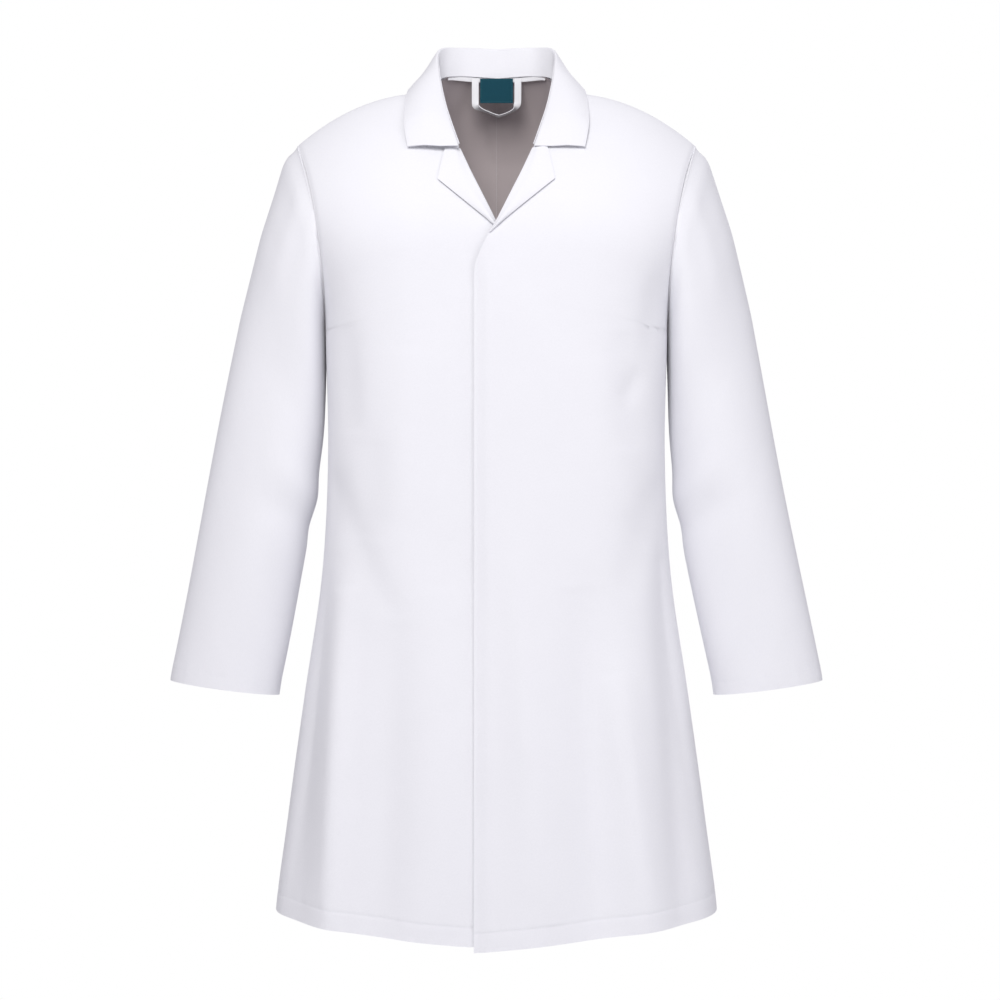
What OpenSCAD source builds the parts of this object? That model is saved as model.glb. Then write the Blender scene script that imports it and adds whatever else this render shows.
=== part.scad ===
// Knee-length lab coat: concealed stud front, notched collar, long set-in sleeves.
// The front faces -Y, +X is the wearer's left, and the origin lies midway between
// the two points where the shoulder seams meet the neck. Lengths are in millimetres.

/* [Shoulders and neck] */
// Half of the distance between the side neck points
neck_half = 76; // [73:1:79]
// Half of the shoulder width
shoulder_half = 244; // [238:1:250]
// Drop of the shoulder point below the side neck point
shoulder_drop = 66; // [62:1:70]
// Height of the back neck seam above the side neck points
back_neck_rise = 28; // [26:1:30]

/* [Body] */
// Half width at the armpit
chest_half = 207; // [204:1:210]
// Half width at the hem
hem_half = 269; // [262:1:276]
// Length from the side neck points to the front hem
coat_length = 1020; // [1000:5:1040]
// Height of the armpit below the side neck points
armpit_drop = 295; // [290:1:300]
// Depth of the chest in front of the shoulder seams
chest_depth = 120; // [116:1:124]
// Depth of the upper back behind the shoulder seams
back_depth = 112; // [108:1:116]

/* [Sleeves] */
// Half of the sleeve mouth's width
cuff_half = 66; // [62:1:70]
// Half of the sleeve mouth's depth
cuff_depth = 42; // [38:1:46]
// Distance of the sleeve mouth's centre from the middle of the coat
cuff_reach = 332; // [328:1:340]
// Height of the sleeve mouth below the side neck points
cuff_drop = 727; // [715:1:740]

/* [Front fastening] */
// Distance of each front edge past the centre line
overlap = 26; // [24:1:28]
// Distance between neighbouring studs
stud_pitch = 150; // [148:1:152]
// Radius of a stud cap
cap_radius = 6; // [5.5:0.1:6.5]

/* [Hidden] */

cloth = 0.8;           // thickness of one sewn panel
layer_pitch = 1.6;     // from one layer's face to the next layer's face
seam_gap = 0.4;        // half of the gap left along an armhole seam
side_seam = 0.3;       // half of the gap left along the side and shoulder seams
curve_power = 3;       // how boxy a level section of the body is
arch_power = 0.75;     // how quickly the chest and back leave the shoulder seam
front_arch = 200;      // height over which the chest reaches its full depth
back_arch = 150;       // height over which the back reaches its full depth
underlap_depth = 8;    // how far the right front lies behind the left front
side_lift = 31;        // rise of the hem from the centre front to the side seams
armhole_bow = 12;      // how far the armhole seam bends towards the middle
armhole_front = 78;    // depth of the armhole in front of the shoulder seam
armhole_back = 76;     // depth of the armhole behind the shoulder seam
shoulder_round = 2.2;   // how far the shoulders stay level before they drop
white = "whitesmoke";
steel = "silver";

// ---- helpers ----

function mix(a, b, t) = a + (b - a) * t;
function ramp(t) = let (c = min(max(t, 0), 1)) c * c * (3 - 2 * c);
function arch(s) = s <= 0 ? 0 : s >= 1 ? 1 : pow(sin(90 * s), arch_power);
function arch_inverse(q) = asin(pow(q, 1 / arch_power)) / 90;

// A smooth curve through a list of points, for s from 0 to 1.
function curve(p, s) =
    let (
        last = len(p) - 1,
        i = min(last - 1, floor(s * last)),
        t = s * last - i,
        a = p[max(i - 1, 0)], b = p[i], c = p[i + 1], d = p[min(i + 2, last)]
    )
    0.5 * (2 * b + (c - a) * t + (2 * a - 5 * b + 4 * c - d) * t * t
        + (3 * b - a - 3 * c + d) * t * t * t);

function flip_x(p) = [-p[0], p[1], p[2]];

// Unit normal of a grid of points, pointing to the front for rows that run down
// and columns that run towards +X.
function grid_normal(g, i, j) =
    let (
        down = g[min(i + 1, len(g) - 1)][j] - g[max(i - 1, 0)][j],
        along = g[i][min(j + 1, len(g[0]) - 1)] - g[i][max(j - 1, 0)],
        n = cross(down, along)
    )
    n / norm(n);

// A closed sheet: the grid is its outer face, and the inner face lies behind it.
// facing is 1 for a sheet whose outside is the front and -1 for one whose outside
// is the back.
module sheet(g, thickness = cloth, facing = 1) {
    rows = len(g);
    cols = len(g[0]);
    inner = [for (i = [0:rows - 1]) for (j = [0:cols - 1])
        g[i][j] - facing * thickness * grid_normal(g, i, j)];
    points = concat([for (row = g) each row], inner);
    function out(i, j) = i * cols + j;
    function in(i, j) = rows * cols + i * cols + j;
    faces = concat(
        [for (i = [0:rows - 2]) for (j = [0:cols - 2]) each [
            [out(i, j), out(i, j + 1), out(i + 1, j + 1)],
            [out(i, j), out(i + 1, j + 1), out(i + 1, j)],
            [in(i, j), in(i + 1, j + 1), in(i, j + 1)],
            [in(i, j), in(i + 1, j), in(i + 1, j + 1)]]],
        [for (j = [0:cols - 2]) each [
            [out(0, j), in(0, j), in(0, j + 1), out(0, j + 1)],
            [out(rows - 1, j), out(rows - 1, j + 1), in(rows - 1, j + 1), in(rows - 1, j)]]],
        [for (i = [0:rows - 2]) each [
            [out(i, 0), out(i + 1, 0), in(i + 1, 0), in(i, 0)],
            [out(i, cols - 1), in(i, cols - 1), in(i + 1, cols - 1), out(i + 1, cols - 1)]]]
    );
    polyhedron(points, facing > 0 ? faces : [for (f = faces) [for (k = [len(f) - 1:-1:0]) f[k]]]);
}

// A closed tube wall between two stacks of rings.
module tube(outer, inner) {
    rows = len(outer);
    cols = len(outer[0]);
    points = concat([for (ring = outer) each ring], [for (ring = inner) each ring]);
    function out(i, j) = i * cols + j % cols;
    function in(i, j) = rows * cols + i * cols + j % cols;
    polyhedron(points, concat(
        [for (i = [0:rows - 2]) for (j = [0:cols - 1]) each [
            [out(i, j), out(i + 1, j + 1), out(i, j + 1)],
            [out(i, j), out(i + 1, j), out(i + 1, j + 1)],
            [in(i, j), in(i, j + 1), in(i + 1, j + 1)],
            [in(i, j), in(i + 1, j + 1), in(i + 1, j)]]],
        [for (j = [0:cols - 1]) each [
            [out(0, j), out(0, j + 1), in(0, j + 1), in(0, j)],
            [out(rows - 1, j), in(rows - 1, j), in(rows - 1, j + 1), out(rows - 1, j + 1)]]]
    ));
}

// ---- shape of the body ----

function share(t) = min(max(t, 0), 1);
function share_down(z) = share(-z / coat_length);
function below_armpit(z) = share((-armpit_drop - z) / (coat_length - armpit_drop));

// Half width of the body below the armpits, and the depths in front of and behind
// the shoulder seams: smooth curves through values at even steps down the coat.
function body_half(z) = curve([
    chest_half, chest_half - 3, chest_half + 4,
    mix(chest_half, hem_half, 0.4), mix(chest_half, hem_half, 0.72), hem_half], below_armpit(z));
function front_depth(z) = curve([for (d = [-4, 1, 1, 6, 21, 32]) chest_depth + d], share_down(z));
function back_depth_at(z) = curve([for (d = [0, 1, -7, 3, 16, 26]) back_depth + d], share_down(z));

// Height of the shoulder ridge over x: level at the neck, steeper to the shoulder point.
function ridge(x) =
    -shoulder_drop * pow(max(abs(x) - neck_half, 0) / (shoulder_half - neck_half), shoulder_round);

// The back neck seam, and the ridge that makes the back meet it.
back_neck_depth = 62;
function neck_round(x) = sqrt(max(0, 1 - pow(x / neck_half, 2)));
function back_neck_z(x) = back_neck_rise * (1 - pow(x / neck_half, 12));
function back_ridge(x) =
    abs(x) >= neck_half ? ridge(x)
    : back_neck_z(x) + back_arch * arch_inverse(back_neck_depth * neck_round(x) / back_depth);

// The armhole seam: its place from the shoulder point down to the armpit.
function armhole_share(z) = share((-shoulder_drop - z) / (armpit_drop - shoulder_drop));
function armhole_x(z) =
    z <= -armpit_drop ? body_half(z)
    : mix(shoulder_half, chest_half, armhole_share(z)) - armhole_bow * sin(180 * armhole_share(z));
function armhole_y(z, depth) = depth * pow(sin(180 * armhole_share(z)), arch_power);

// Half width that makes a level section pass through the armhole seam.
function section_half(z, armhole_depth, depth, height) =
    z <= -armpit_drop ? body_half(z)
    : let (
        zz = min(z, -shoulder_drop - 4),
        x = armhole_x(zz),
        q = armhole_y(zz, armhole_depth) / (depth * arch((ridge(x) - zz) / height))
    )
    x / pow(1 - pow(min(q, 0.96), curve_power), 1 / curve_power);

function section(q) = pow(max(0, 1 - pow(min(abs(q), 1), curve_power)), 1 / curve_power);

function front_y(x, z) =
    -front_depth(z) * arch((ridge(x) - z) / front_arch)
    * section(x / section_half(z, armhole_front, front_depth(z), front_arch));

function back_y(x, z) =
    back_depth_at(z) * arch((back_ridge(x) - z) / back_arch)
    * section(x / section_half(z, armhole_back, back_depth_at(z), back_arch));

function hem_z(x) = -coat_length + side_lift * pow(abs(x) / hem_half, 2);

// ---- front edges and opening lines ----

break_z = -174;        // where the two roll lines meet
left_apex_z = -232;    // where the left front's opening line leaves its edge
right_apex_z = -414;   // where the right front's opening line leaves its edge
line_end_x = 230;      // where both opening lines reach the hem
line_end_z = -1000;

// Front edge of a front panel: roll line above, straight edge below.
function edge_x(z) = lookup(-z, [
    [0, neck_half], [11, neck_half - 8], [50, neck_half - 19], [110, neck_half - 45],
    [-break_z, 0], [-break_z + 20, -13], [-break_z + 50, -overlap]]);

function line_x(z, apex_z) =
    mix(-overlap - 4, line_end_x, (apex_z - z) / (apex_z - line_end_z));

// The right front lies behind the left front where they overlap.
function set_back(x, side) = side > 0 ? 0 : underlap_depth * ramp((115 - x) / 80);

function front_point(x, z, side, layer = 0) =
    [x, min(front_y(x, z), -side_seam) + set_back(x, side) + layer * layer_pitch, z];

// Gap on each side of an opening line; it widens to the hem.
function line_gap(z) = 2.5 + 3.5 * ramp((-z - 250) / 750);

// Rows of a panel lie closer together near the shoulders, where it curves most.
function row_share(t) = pow(t, 1.4);

module on_side(side) {
    if (side > 0) children();
    else mirror([1, 0, 0]) children();
}

module front_body(side, apex_z) {
    rows = 30;
    cols = 16;
    end_x = line_end_x + 2 * line_gap(line_end_z);
    grid = [for (i = [0:rows]) let (
        v = row_share(i / rows),
        z_in = mix(-0.3, hem_z(end_x), v),
        z_out = mix(-shoulder_drop - 0.3, hem_z(hem_half), v),
        x_in = max(edge_x(z_in), z_in < apex_z ? line_x(z_in, apex_z) + line_gap(z_in) : -overlap),
        x_out = armhole_x(z_out) - (z_out > -armpit_drop ? seam_gap : 0))
        [for (j = [0:cols]) let (
            along = sin(90 * j / cols),
            x = mix(x_in, x_out, along),
            z = mix(z_in, z_out, along)
                + (1 - ramp(v * 6)) * (ridge(x) + shoulder_drop * along))
            front_point(x, z, side)]];
    on_side(side) sheet(grid);
}

module front_flap(side, apex_z) {
    rows = 20;
    cols = 16;
    top = apex_z - 26;
    grid = [for (i = [0:rows])
        [for (j = [0:cols]) let (
            level = mix(top, -coat_length, i / rows),
            x_out = line_x(max(level, line_end_z), apex_z) - line_gap(level),
            x = mix(-overlap, x_out, j / cols),
            z = mix(top, hem_z(x), i / rows))
            front_point(x, z, side)]];
    on_side(side) sheet(grid);
}

// A strip behind a front: from the edge, or from the opening line, to a set width.
module strip(side, apex_z, on_flap, from_x, to_x, top, bottom, layer, margin) {
    rows = 22;
    cols = 6;
    grid = [for (i = [0:rows]) let (
        z = mix(top, bottom, row_share(i / rows)),
        line = line_x(z, apex_z),
        x_in = on_flap ? from_x : max(edge_x(z) + 1.5, max(from_x, line + margin)),
        x_out = on_flap ? min(to_x, line - margin) : to_x)
        [for (j = [0:cols]) front_point(mix(x_in, x_out, j / cols), z, side, layer)]];
    on_side(side) sheet(grid);
}

module back_panel(side) {
    rows = 30;
    cols = 18;
    grid = [for (i = [0:rows])
        [for (j = [0:cols]) let (
            v = row_share(i / rows),
            z_out = mix(-shoulder_drop - 0.3, hem_z(hem_half), v),
            x_out = armhole_x(z_out) - (z_out > -armpit_drop ? seam_gap : 0),
            x = mix(0.3, x_out, sin(90 * j / cols)),
            top = x < neck_half ? back_neck_z(x) : ridge(x) - 0.3,
            outward = pow(x / x_out, 1.2),
            z = i == 0 ? top : mix(mix(back_neck_rise, -coat_length, v), z_out, outward)
                + (1 - ramp(v * 6)) * (top - mix(back_neck_rise, -shoulder_drop, outward)))
            [x, max(back_y(x, z), side_seam), z]]];
    on_side(side) sheet(grid, cloth, -1);
}

// ---- sleeves ----

sleeve_rows = 18;
around = 24;

// Outer (shoulder to little finger) and inner (armpit to thumb) lines of a sleeve.
function sleeve_outer(m) = let (z = mix(-shoulder_drop, -cuff_drop + 10, m)) [
    lookup(m, [[0, shoulder_half], [0.03, shoulder_half + 15], [0.09, shoulder_half + 27],
        [0.165, shoulder_half + 42], [0.32, shoulder_half + 66], [1, cuff_reach + cuff_half]]), 0, z];
function sleeve_inner(m) = let (z = mix(-armpit_drop, -cuff_drop - 8, m)) [
    lookup(m, [[0, chest_half], [0.28, chest_half + 2.5], [0.5, chest_half + 14],
        [0.63, chest_half + 26], [1, cuff_reach - cuff_half]]), 0, z];

function sleeve_ring(m, inset) = let (
    outer = sleeve_outer(m),
    inner = sleeve_inner(m),
    centre = (outer + inner) / 2,
    half = (outer - inner) / 2,
    span = norm(half),
    bow = armhole_bow * (1 - ramp(m / 0.3)),
    power = mix(arch_power * 2, 1, ramp(m / 0.2)),
    push = 2 * seam_gap * (1 - ramp(m / 0.1)))
    [for (k = [0:around - 1]) let (
        turn = 360 * k / around,
        side_depth = sin(turn) > 0 ? armhole_front : armhole_back,
        depth = mix(side_depth, mix(60, cuff_depth, m), ramp(m / 0.35)) - inset,
        swell = pow(abs(sin(turn)), power))
        centre + half * (1 - inset / span) * cos(turn)
        + [push - bow * (1 - pow(cos(turn), 2)), -sign(sin(turn)) * depth * swell, 0]];

module sleeve(side) {
    rings = [for (i = [0:sleeve_rows]) sleeve_ring(i / sleeve_rows, 0)];
    lining = [for (i = [0:sleeve_rows]) sleeve_ring(i / sleeve_rows, cloth)];
    on_side(side) tube(rings, lining);
}

// ---- collar and lapels ----

// Half of the collar, from the centre back (s = 0) to the gorge at the front (s = 1).
neck_seam = [[0, 62, 29], [46, 48, 29], [69, 21, 20], [70, -8, -2], [58, -36, -34], [40, -70, -79]];
fold_line = [[0, 66, 66], [46, 57, 66], [70, 32, 58], [70, -5, 26], [61, -43, -24], [44, -83, -80]];
outer_edge = [[0, 101, -6], [60, 81, -12], [100, 49, -18], [108, 5, 3], [111, -54, -42], [105, -83, -80]];
wing_start = 0.79;
collar_thickness = 1.2;

function around_neck(line, s) = s >= 0 ? curve(line, s) : flip_x(curve(line, -s));

module collar_part(from_line, to_line, s_start, s_end, cols, rows, start = 0.06, end = 1) {
    grid = [for (i = [0:rows])
        [for (j = [0:cols]) let (s = mix(s_start, s_end, j / cols))
            mix(around_neck(from_line, s), around_neck(to_line, s), mix(start, end, i / rows))]];
    sheet(grid, collar_thickness, -1);
}

// A lapel lies on the front just outside it, from the roll line to its own edge.
function lapel_edge(z) = lookup(-z, [[84, 62], [122, 69], [170, 12]]);

module lapel(side) {
    rows = 9;
    cols = 5;
    grid = [for (i = [0:rows]) let (z = mix(-86, -167, i / rows), x_in = edge_x(z) + 1)
        [for (j = [0:cols]) let (x = mix(x_in, max(lapel_edge(z), x_in + 5), j / cols))
            [x, front_y(x, z) - 2.6, z]]];
    on_side(side) sheet(grid, collar_thickness);
}

// ---- studs ----

top_stud_z = -205;
function stud_z(i) = top_stud_z - i * stud_pitch;
function centre_front_y(z) = front_y(0, z);
function centre_front_tilt(z) = atan((centre_front_y(z + 5) - centre_front_y(z - 5)) / 10);

// Places a stud part square to the sloping front, at a depth behind its outside.
module at_studs(list, depth) {
    for (i = list)
        translate([0, centre_front_y(stud_z(i)) + depth, stud_z(i)])
            rotate([-90 - centre_front_tilt(stud_z(i)), 0, 0])
                children();
}

// Depths behind the outside of the left front, at the centre line.
band_face = 2 * layer_pitch;
cap_face = band_face - 0.65;
socket_face = band_face + cloth + 0.05;
post_tip = socket_face + 0.9;
post_disc = 0.6;
back_face = underlap_depth + layer_pitch + cloth + 0.5;

module stud_cap() {
    cylinder(r = cap_radius, h = 0.6, $fn = 48);
}

module stud_socket() {
    difference() {
        cylinder(r = cap_radius - 1, h = 1.4, $fn = 48);
        translate([0, 0, 0.4]) cylinder(r = 3.1, h = 2, $fn = 36);
    }
}

module stud_post() {
    disc_face = underlap_depth - post_tip - post_disc - 0.05;
    cylinder(r = 2.2, h = disc_face + 0.1, $fn = 36);
    translate([0, 0, disc_face]) cylinder(r = cap_radius - 1, h = post_disc, $fn = 48);
}

module stud_back() {
    cylinder(r = cap_radius - 0.5, h = 0.5, $fn = 48);
}

// ---- parts ----

module back_left_panel() { color(white) back_panel(1); }
module back_right_panel() { color(white) back_panel(-1); }
module left_front_body() { color(white) front_body(1, left_apex_z); }
module left_front_flap() { color(white) front_flap(1, left_apex_z); }
module right_front_body() { color(white) front_body(-1, right_apex_z); }
module right_front_flap() { color(white) front_flap(-1, right_apex_z); }
module left_sleeve() { color(white) sleeve(1); }
module right_sleeve() { color(white) sleeve(-1); }

module collar_stand() {
    color(white) collar_part(neck_seam, fold_line, -0.98, 0.98, 28, 2, 0, 0.93);
}
module collar_leaf_back() {
    color(white) collar_part(fold_line, outer_edge, -wing_start, wing_start, 26, 5);
}
module collar_wing() {
    collar_part(fold_line, outer_edge, wing_start + 0.02, 1, 6, 5, 0.12);
}
module collar_leaf_left() { color(white) collar_wing(); }
module collar_leaf_right() { color(white) mirror([1, 0, 0]) collar_wing(); }

module left_lapel() { color(white) lapel(1); }
module right_lapel() { color(white) lapel(-1); }

module left_facing_top() {
    color(white) strip(1, left_apex_z, false, -overlap, 55, -75, -395, 1, 3.5);
}
module left_facing_flap() {
    color(white) strip(1, left_apex_z, true, -overlap + 1, 55, left_apex_z - 30, -coat_length + 4, 1, 4);
}
module right_facing_top() {
    color(white) strip(-1, right_apex_z, false, -overlap, 55, -75, -500, 1, 3.5);
}
module right_facing_flap() {
    color(white) strip(-1, right_apex_z, true, -overlap + 1, 55, right_apex_z - 30, -coat_length + 4, 1, 5.5);
}
module fly_band_top() {
    color(white) strip(1, left_apex_z, false, -12, 22, -192, -300, 2, 5);
}
module fly_band() {
    color(white) strip(1, left_apex_z, true, -12, 22, -310, -850, 2, 5);
}

module top_stud_cap() { color(steel) at_studs([0], cap_face) stud_cap(); }
module top_stud_socket() { color(steel) at_studs([0], socket_face) stud_socket(); }
module stud_caps() { color(steel) at_studs([1:4], cap_face) stud_cap(); }
module stud_sockets() { color(steel) at_studs([1:4], socket_face) stud_socket(); }
module upper_stud_posts() { color(steel) at_studs([0, 1], post_tip) stud_post(); }
module upper_stud_backs() { color(steel) at_studs([0, 1], back_face) stud_back(); }
module stud_posts() { color(steel) at_studs([2:4], post_tip) stud_post(); }
module stud_backs() { color(steel) at_studs([2:4], back_face) stud_back(); }

// Narrow tape over the back neck seam, inside the coat.
module neck_tape() {
    cols = 16;
    grid = [for (i = [0:1])
        [for (j = [0:cols]) let (
            x = mix(-50, 50, j / cols),
            z = back_neck_z(x) - 2 - 8 * i)
            [x, back_y(x, back_neck_z(x) - 2) - 4.5, z]]];
    color(white) sheet(grid);
}

// Hanging loop: two tape straps that meet in a point below the label.
strap_y = 51;
loop_top = 26;
module hang_loop() {
    color(white) translate([0, strap_y, 0]) rotate([90, 0, 0]) linear_extrude(cloth)
        polygon([[-31, loop_top], [-22, loop_top], [-22, -8], [-14, -14], [3, -18],
            [16, -14], [22, -8], [22, loop_top], [31, loop_top], [31, -7], [24, -17],
            [3, -25], [-23, -17], [-31, -7]]);
}

module size_label() {
    color("teal") translate([-20.5, strap_y - cloth, loop_top - 31]) cube([41, cloth, 31]);
}

// Patch pocket inside the wearer's left chest.
module inner_pocket() {
    rows = 6;
    cols = 5;
    grid = [for (i = [0:rows]) let (z = mix(-208, -338, i / rows))
        [for (j = [0:cols]) let (
            across = 2 * j / cols - 1,
            x = 118 + 50 * across,
            bulge = 13 * (1 - pow(across, 2)) * (1 - ramp(i / rows * 1.2)))
            [x, front_y(x, z) + 2 + bulge, z]]];
    color(white) sheet(grid);
}

back_left_panel();
back_right_panel();
left_front_body();
left_front_flap();
right_front_body();
right_front_flap();
left_sleeve();
right_sleeve();
collar_stand();
collar_leaf_back();
collar_leaf_left();
collar_leaf_right();
left_lapel();
right_lapel();
left_facing_top();
left_facing_flap();
right_facing_top();
right_facing_flap();
fly_band_top();
fly_band();
top_stud_cap();
top_stud_socket();
stud_caps();
stud_sockets();
upper_stud_posts();
upper_stud_backs();
stud_posts();
stud_backs();
neck_tape();
hang_loop();
size_label();
inner_pocket();
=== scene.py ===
import math

import bpy
import numpy as np
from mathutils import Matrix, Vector


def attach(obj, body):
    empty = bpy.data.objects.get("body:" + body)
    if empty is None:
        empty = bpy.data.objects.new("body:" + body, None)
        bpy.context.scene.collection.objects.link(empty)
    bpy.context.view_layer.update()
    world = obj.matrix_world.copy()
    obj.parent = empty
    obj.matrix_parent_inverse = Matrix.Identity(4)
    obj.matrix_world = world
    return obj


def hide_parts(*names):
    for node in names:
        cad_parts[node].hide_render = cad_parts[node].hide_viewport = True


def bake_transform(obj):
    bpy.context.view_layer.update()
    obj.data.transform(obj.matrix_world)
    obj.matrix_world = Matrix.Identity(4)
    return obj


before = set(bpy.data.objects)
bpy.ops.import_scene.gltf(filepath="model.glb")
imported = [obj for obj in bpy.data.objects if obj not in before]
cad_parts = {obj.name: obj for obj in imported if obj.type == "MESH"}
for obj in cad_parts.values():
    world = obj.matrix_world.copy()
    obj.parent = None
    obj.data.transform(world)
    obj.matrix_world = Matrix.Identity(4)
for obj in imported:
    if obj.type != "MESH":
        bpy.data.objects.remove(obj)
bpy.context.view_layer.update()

# The shape functions work in millimetres in the frame's axes: the front faces -Y,
# +X is the wearer's left and +Z is up. Meshes are written in metres.
MM = 0.001

# ---- dimensions shared with the CAD part ----

NECK_HALF = 76
SHOULDER_HALF = 244
SHOULDER_DROP = 66
BACK_NECK_RISE = 28
CHEST_HALF = 207
HEM_HALF = 269
COAT_LENGTH = 1020
ARMPIT_DROP = 295
CHEST_DEPTH = 120
BACK_DEPTH = 112
CUFF_HALF = 66
CUFF_DEPTH = 42
CUFF_REACH = 332
CUFF_DROP = 727
OVERLAP = 26
CURVE_POWER = 3
ARCH_POWER = 0.75
FRONT_ARCH = 200
BACK_ARCH = 150
UNDERLAP_DEPTH = 8
SIDE_LIFT = 31
ARMHOLE_BOW = 12
ARMHOLE_FRONT = 78
ARMHOLE_BACK = 76
BACK_NECK_DEPTH = 62
SHOULDER_ROUND = 2.2
BREAK_Z = -174
LAYER_PITCH = 1.6

# Cloth and needlework
CLOTH = 0.55
HEM_CLOTH = 1.5
HEM_WIDTH = 22
HEM_GROOVE = 0.45
SEAM_GROOVE = 1.7
SEAM_REACH = 3.4
UNDER_LIFT = 7
CUFF_HEM = 17
GRID_STEP = 5.0
STITCH_PITCH = 3.0
STITCH_LENGTH = 2.3
STITCH_RADIUS = 0.26


# ---- numbers and curves ----

def mix(a, b, t):
    return a + (b - a) * t


def share(t):
    return np.clip(t, 0, 1)


def ramp(t):
    t = share(t)
    return t * t * (3 - 2 * t)


def arch(s):
    return np.sin(np.pi / 2 * share(s)) ** ARCH_POWER


def arch_inverse(q):
    return np.arcsin(share(q) ** (1 / ARCH_POWER)) / (np.pi / 2)


def curve(points, s):
    """A smooth curve through the points, for s from 0 to 1."""
    p = np.asarray(points, float)
    s = np.asarray(s, float)
    last = len(p) - 1
    i = np.clip(np.floor(s * last), 0, last - 1).astype(int)
    t = s * last - i
    a, b, c, d = p[np.maximum(i - 1, 0)], p[i], p[i + 1], p[np.minimum(i + 2, last)]
    if p.ndim > 1:
        t = t[..., None]
    return 0.5 * (2 * b + (c - a) * t + (2 * a - 5 * b + 4 * c - d) * t * t
                  + (3 * b - a - 3 * c + d) * t ** 3)


def lookup(key, pairs):
    keys, values = zip(*pairs)
    return np.interp(key, keys, values)


def soft_lookup(key, pairs, reach=7.0):
    """A lookup whose corners are rounded over reach on each side."""
    return np.mean([lookup(key + d, pairs) for d in np.linspace(-reach, reach, 7)], axis=0)


# ---- shape of the body ----

def body_half(z):
    down = share((-ARMPIT_DROP - z) / (COAT_LENGTH - ARMPIT_DROP))
    return curve([CHEST_HALF, CHEST_HALF - 3, CHEST_HALF + 4, mix(CHEST_HALF, HEM_HALF, 0.4),
                  mix(CHEST_HALF, HEM_HALF, 0.72), HEM_HALF], down)


def front_depth(z):
    return curve([CHEST_DEPTH + d for d in (-4, 1, 1, 6, 21, 32)], share(-z / COAT_LENGTH))


def back_depth(z):
    return curve([BACK_DEPTH + d for d in (0, 1, -7, 3, 16, 26)], share(-z / COAT_LENGTH))


def ridge(x):
    """Height of the shoulder ridge: level at the neck, steeper to the shoulder point."""
    out = np.maximum(np.abs(x) - NECK_HALF, 0) / (SHOULDER_HALF - NECK_HALF)
    return -SHOULDER_DROP * out ** SHOULDER_ROUND


def back_neck_z(x):
    return BACK_NECK_RISE * (1 - np.minimum(np.abs(x) / NECK_HALF, 1) ** 12)


def back_ridge(x):
    round_part = np.sqrt(np.maximum(0, 1 - (x / NECK_HALF) ** 2))
    neck = back_neck_z(x) + BACK_ARCH * arch_inverse(BACK_NECK_DEPTH * round_part / BACK_DEPTH)
    return np.where(np.abs(x) >= NECK_HALF, ridge(x), neck)


def armhole_share(z):
    return share((-SHOULDER_DROP - z) / (ARMPIT_DROP - SHOULDER_DROP))


def armhole_x(z):
    a = armhole_share(z)
    seam = mix(SHOULDER_HALF, CHEST_HALF, a) - ARMHOLE_BOW * np.sin(np.pi * a)
    return np.where(z <= -ARMPIT_DROP, body_half(z), seam)


def section_half(z, armhole_depth, depth, height):
    zz = np.minimum(z, -SHOULDER_DROP - 4)
    x = armhole_x(zz)
    y = armhole_depth * np.sin(np.pi * armhole_share(zz)) ** ARCH_POWER
    q = y / (depth * np.maximum(arch((ridge(x) - zz) / height), 1e-6))
    wide = x / (1 - np.minimum(q, 0.96) ** CURVE_POWER) ** (1 / CURVE_POWER)
    return np.where(z <= -ARMPIT_DROP, body_half(z), wide)


def section(q):
    return np.maximum(0, 1 - np.minimum(np.abs(q), 1) ** CURVE_POWER) ** (1 / CURVE_POWER)


def front_y(x, z):
    depth = front_depth(z)
    return (-depth * arch((ridge(x) - z) / FRONT_ARCH)
            * section(x / section_half(z, ARMHOLE_FRONT, depth, FRONT_ARCH)))


def back_y(x, z):
    depth = back_depth(z)
    return (depth * arch((back_ridge(x) - z) / BACK_ARCH)
            * section(x / section_half(z, ARMHOLE_BACK, depth, BACK_ARCH)))


def hem_z(x):
    return -COAT_LENGTH + SIDE_LIFT * (np.abs(x) / HEM_HALF) ** 2


def edge_x(z):
    """Front edge of a front: its roll line above the break, then the straight edge."""
    return soft_lookup(-z, [(0, NECK_HALF), (11, NECK_HALF - 8), (50, NECK_HALF - 19),
                            (110, NECK_HALF - 45), (-BREAK_Z, 0), (-BREAK_Z + 20, -13),
                            (-BREAK_Z + 50, -OVERLAP)])


def set_back(x, side):
    """The right front lies behind the left front where they overlap."""
    return 0 * x if side > 0 else UNDERLAP_DEPTH * ramp((115 - x) / 80)


# ---- folds of the cloth ----

def fold(x, z, start, end, width, height):
    """Height of one soft fold that runs from start to end in the (x, z) plane."""
    ax, az = start
    dx, dz = end[0] - ax, end[1] - az
    t = share(((x - ax) * dx + (z - az) * dz) / (dx * dx + dz * dz))
    off = np.hypot(x - ax - t * dx, z - az - t * dz)
    return height * np.exp(-(off / width) ** 2) * (0.25 + 0.75 * np.sin(np.pi * t) ** 0.5)


LEFT_FOLDS = [
    ((150, -300), (160, -440), 26, -3.0),
    ((188, -235), (182, -330), 14, -2.6),
    ((172, -345), (150, -385), 12, -2.4),
    ((120, -330), (150, -520), 30, 2.4),
    ((196, -470), (150, -610), 22, -3.6),
    ((14, -560), (60, -990), 26, 5.0),
    ((100, -600), (122, -1010), 26, -8.0),
    ((140, -700), (176, -1010), 22, 8.0),
    ((205, -560), (222, -1010), 24, -11.0),
]
RIGHT_FOLDS = [
    ((178, -290), (172, -420), 16, -3.4),
    ((142, -430), (150, -545), 22, -3.2),
    ((198, -470), (120, -640), 18, -2.8),
    ((100, -320), (130, -520), 30, 2.0),
    ((196, -460), (160, -600), 22, -2.6),
    ((60, -600), (66, -1000), 34, 4.0),
    ((120, -640), (134, -1010), 30, -7.0),
    ((180, -600), (196, -1010), 15, 9.0),
    ((222, -580), (240, -1010), 22, -11.0),
]
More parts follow.
